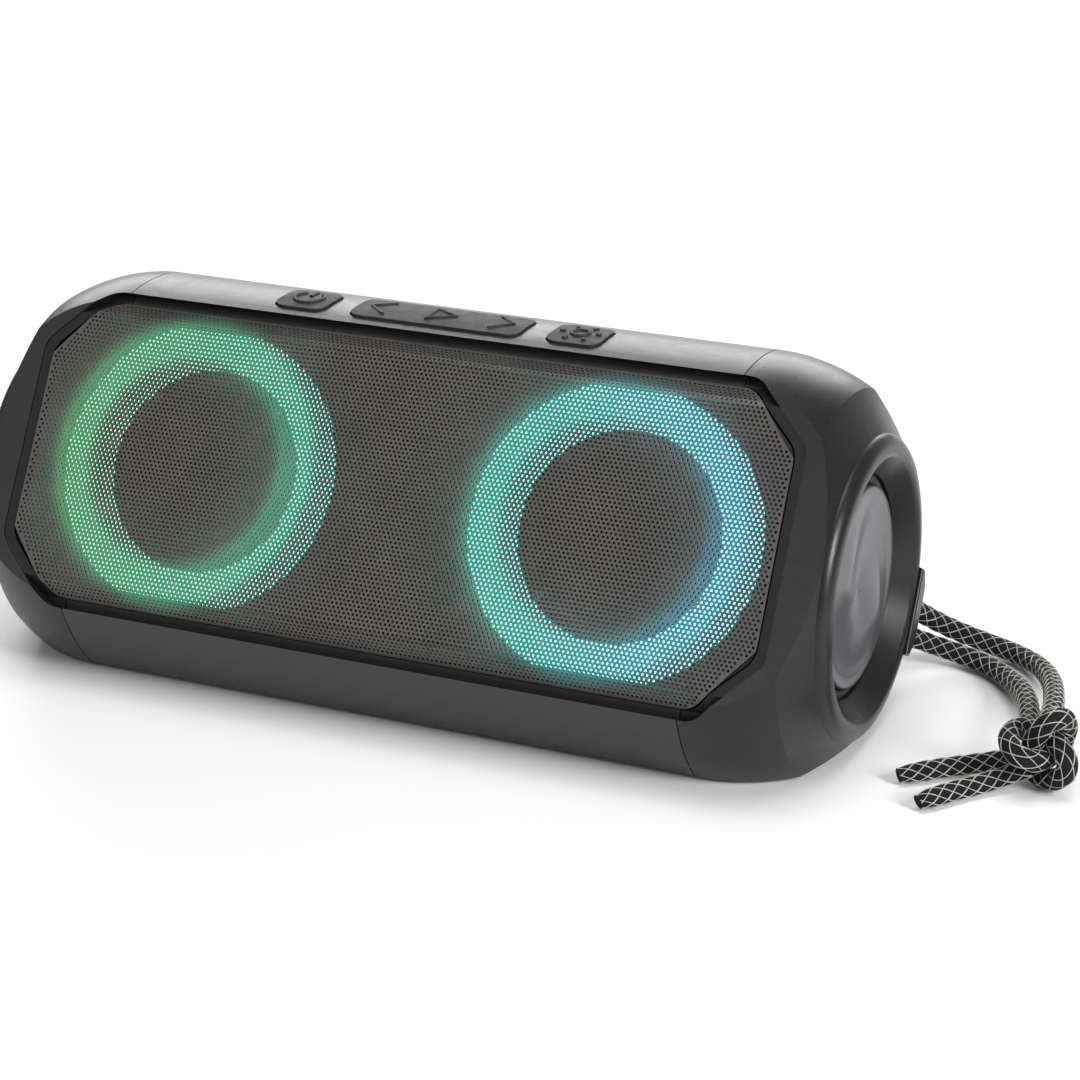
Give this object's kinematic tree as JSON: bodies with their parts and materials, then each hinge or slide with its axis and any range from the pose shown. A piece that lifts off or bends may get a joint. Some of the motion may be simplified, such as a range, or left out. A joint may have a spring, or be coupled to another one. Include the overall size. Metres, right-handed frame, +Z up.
{
  "type": "portable speaker",
  "caption": "Long three-sided portable speaker: leaning perforated front over lit driver rings, passive radiators in its ends, press buttons along the top and a knotted cord lanyard at one end.",
  "frame": {"origin": "centre of the footprint of the speaker without its lanyard, on the surface it stands on", "axes": "+X along the speaker to the lanyard's end (right, seen from the front), +Y to the back, +Z up. The front face looks to -Y and leans back 30 degrees"},
  "size_m": [0.3087, 0.1226, 0.1015],
  "materials": {
    "body_plastic": "fine satin texture",
    "grille_metal": "satin gunmetal powder coat, perforated",
    "button_rubber": "soft matte",
    "soft_rubber": "matte",
    "inner_plastic": "as moulded",
    "light_left": "frosted light guide, lit",
    "light_right": "frosted light guide, lit",
    "disc_plastic": "satin",
    "steel": "plain zinc-coated steel",
    "cone_plastic": "coated paper",
    "circuit_board": "solder mask",
    "component_black": "moulded",
    "lamp_white": "clear resin",
    "cell_sleeve": "shrink sleeve",
    "ribbon_white": "flat cable",
    "rope": "braided, with a paler net over it"
  },
  "bodies": {
    "root": {"acoustic_tub": "inner_plastic", "audio_jack": "component_black", "back_panel": "body_plastic", "baffle": "inner_plastic", "baffle_gasket": "soft_rubber", "base_feet": "soft_rubber", "base_panel": "body_plastic", "base_screws": "steel", "battery_cells": "cell_sleeve", "battery_tray": "inner_plastic", "board_parts": "component_black", "bulkhead_left": "inner_plastic", "bulkhead_right": "inner_plastic", "button_board": "circuit_board", "button_board_screws": "steel", "chin_panel": "body_plastic", "dome_switches": "steel", "driver_basket_left": "inner_plastic", "driver_basket_right": "inner_plastic", "driver_magnet_left": "steel", "driver_magnet_right": "steel", "driver_screws": "steel", "driver_surround_left": "soft_rubber", "driver_surround_right": "soft_rubber", "end_cap_left": "body_plastic", "end_cap_right": "body_plastic", "end_ring_left": "body_plastic", "end_ring_right": "body_plastic", "grille": "grille_metal", "lamp_board_left": "circuit_board", "lamp_board_right": "circuit_board", "lamps": "lamp_white", "lanyard_knot": "rope", "lanyard_lower": "rope", "lanyard_post": "steel", "lanyard_tail_lower": "rope", "lanyard_tail_upper": "rope", "lanyard_upper": "rope", "light_ring_left": "light_left", "light_ring_right": "light_right", "main_board": "circuit_board", "radiator_frame_left": "inner_plastic", "radiator_frame_right": "inner_plastic", "radiator_screws": "steel", "radiator_surround_left": "soft_rubber", "radiator_surround_right": "soft_rubber", "ribbon_cable": "ribbon_white", "top_panel": "body_plastic", "usb_socket": "steel"},
    "cone_left": {"driver_cone_left": "cone_plastic"},
    "cone_right": {"driver_cone_right": "cone_plastic"},
    "radiator_left": {"radiator_disc_left": "disc_plastic", "radiator_weight_left": "steel"},
    "radiator_right": {"radiator_disc_right": "disc_plastic", "radiator_weight_right": "steel"},
    "power_button": {"power_button": "button_rubber"},
    "track_strip": {"track_strip": "button_rubber"},
    "light_button": {"light_button": "button_rubber"},
    "port_cover": {"port_cover": "soft_rubber"}
  },
  "joints": [
    {"name": "cone_travel_left", "type": "slide", "parent": "root", "child": "cone_left", "axis": [0, -0.866, 0.5], "range_m": [-0.0015, 0.0015], "stiffness_N_per_m": 900},
    {"name": "cone_travel_right", "type": "slide", "parent": "root", "child": "cone_right", "axis": [0, -0.866, 0.5], "range_m": [-0.0015, 0.0015], "stiffness_N_per_m": 900},
    {"name": "radiator_travel_left", "type": "slide", "parent": "root", "child": "radiator_left", "axis": [-1, 0, 0], "range_m": [-0.002, 0.002], "stiffness_N_per_m": 1200},
    {"name": "radiator_travel_right", "type": "slide", "parent": "root", "child": "radiator_right", "axis": [1, 0, 0], "range_m": [-0.002, 0.002], "stiffness_N_per_m": 1200},
    {"name": "power_button_press", "type": "slide", "parent": "root", "child": "power_button", "axis": [0, 0, -1], "range_m": [0, 0.0008], "stiffness_N_per_m": 1500},
    {"name": "track_strip_press", "type": "slide", "parent": "root", "child": "track_strip", "axis": [0, 0, -1], "range_m": [0, 0.0008], "stiffness_N_per_m": 2500},
    {"name": "light_button_press", "type": "slide", "parent": "root", "child": "light_button", "axis": [0, 0, -1], "range_m": [0, 0.0008], "stiffness_N_per_m": 1500},
    {"name": "port_cover_lift", "type": "hinge", "parent": "root", "child": "port_cover", "pos_m": [0, 0.0424, 0.05037], "axis": [-1, 0, 0], "range_deg": [0, 100]}
  ]
}
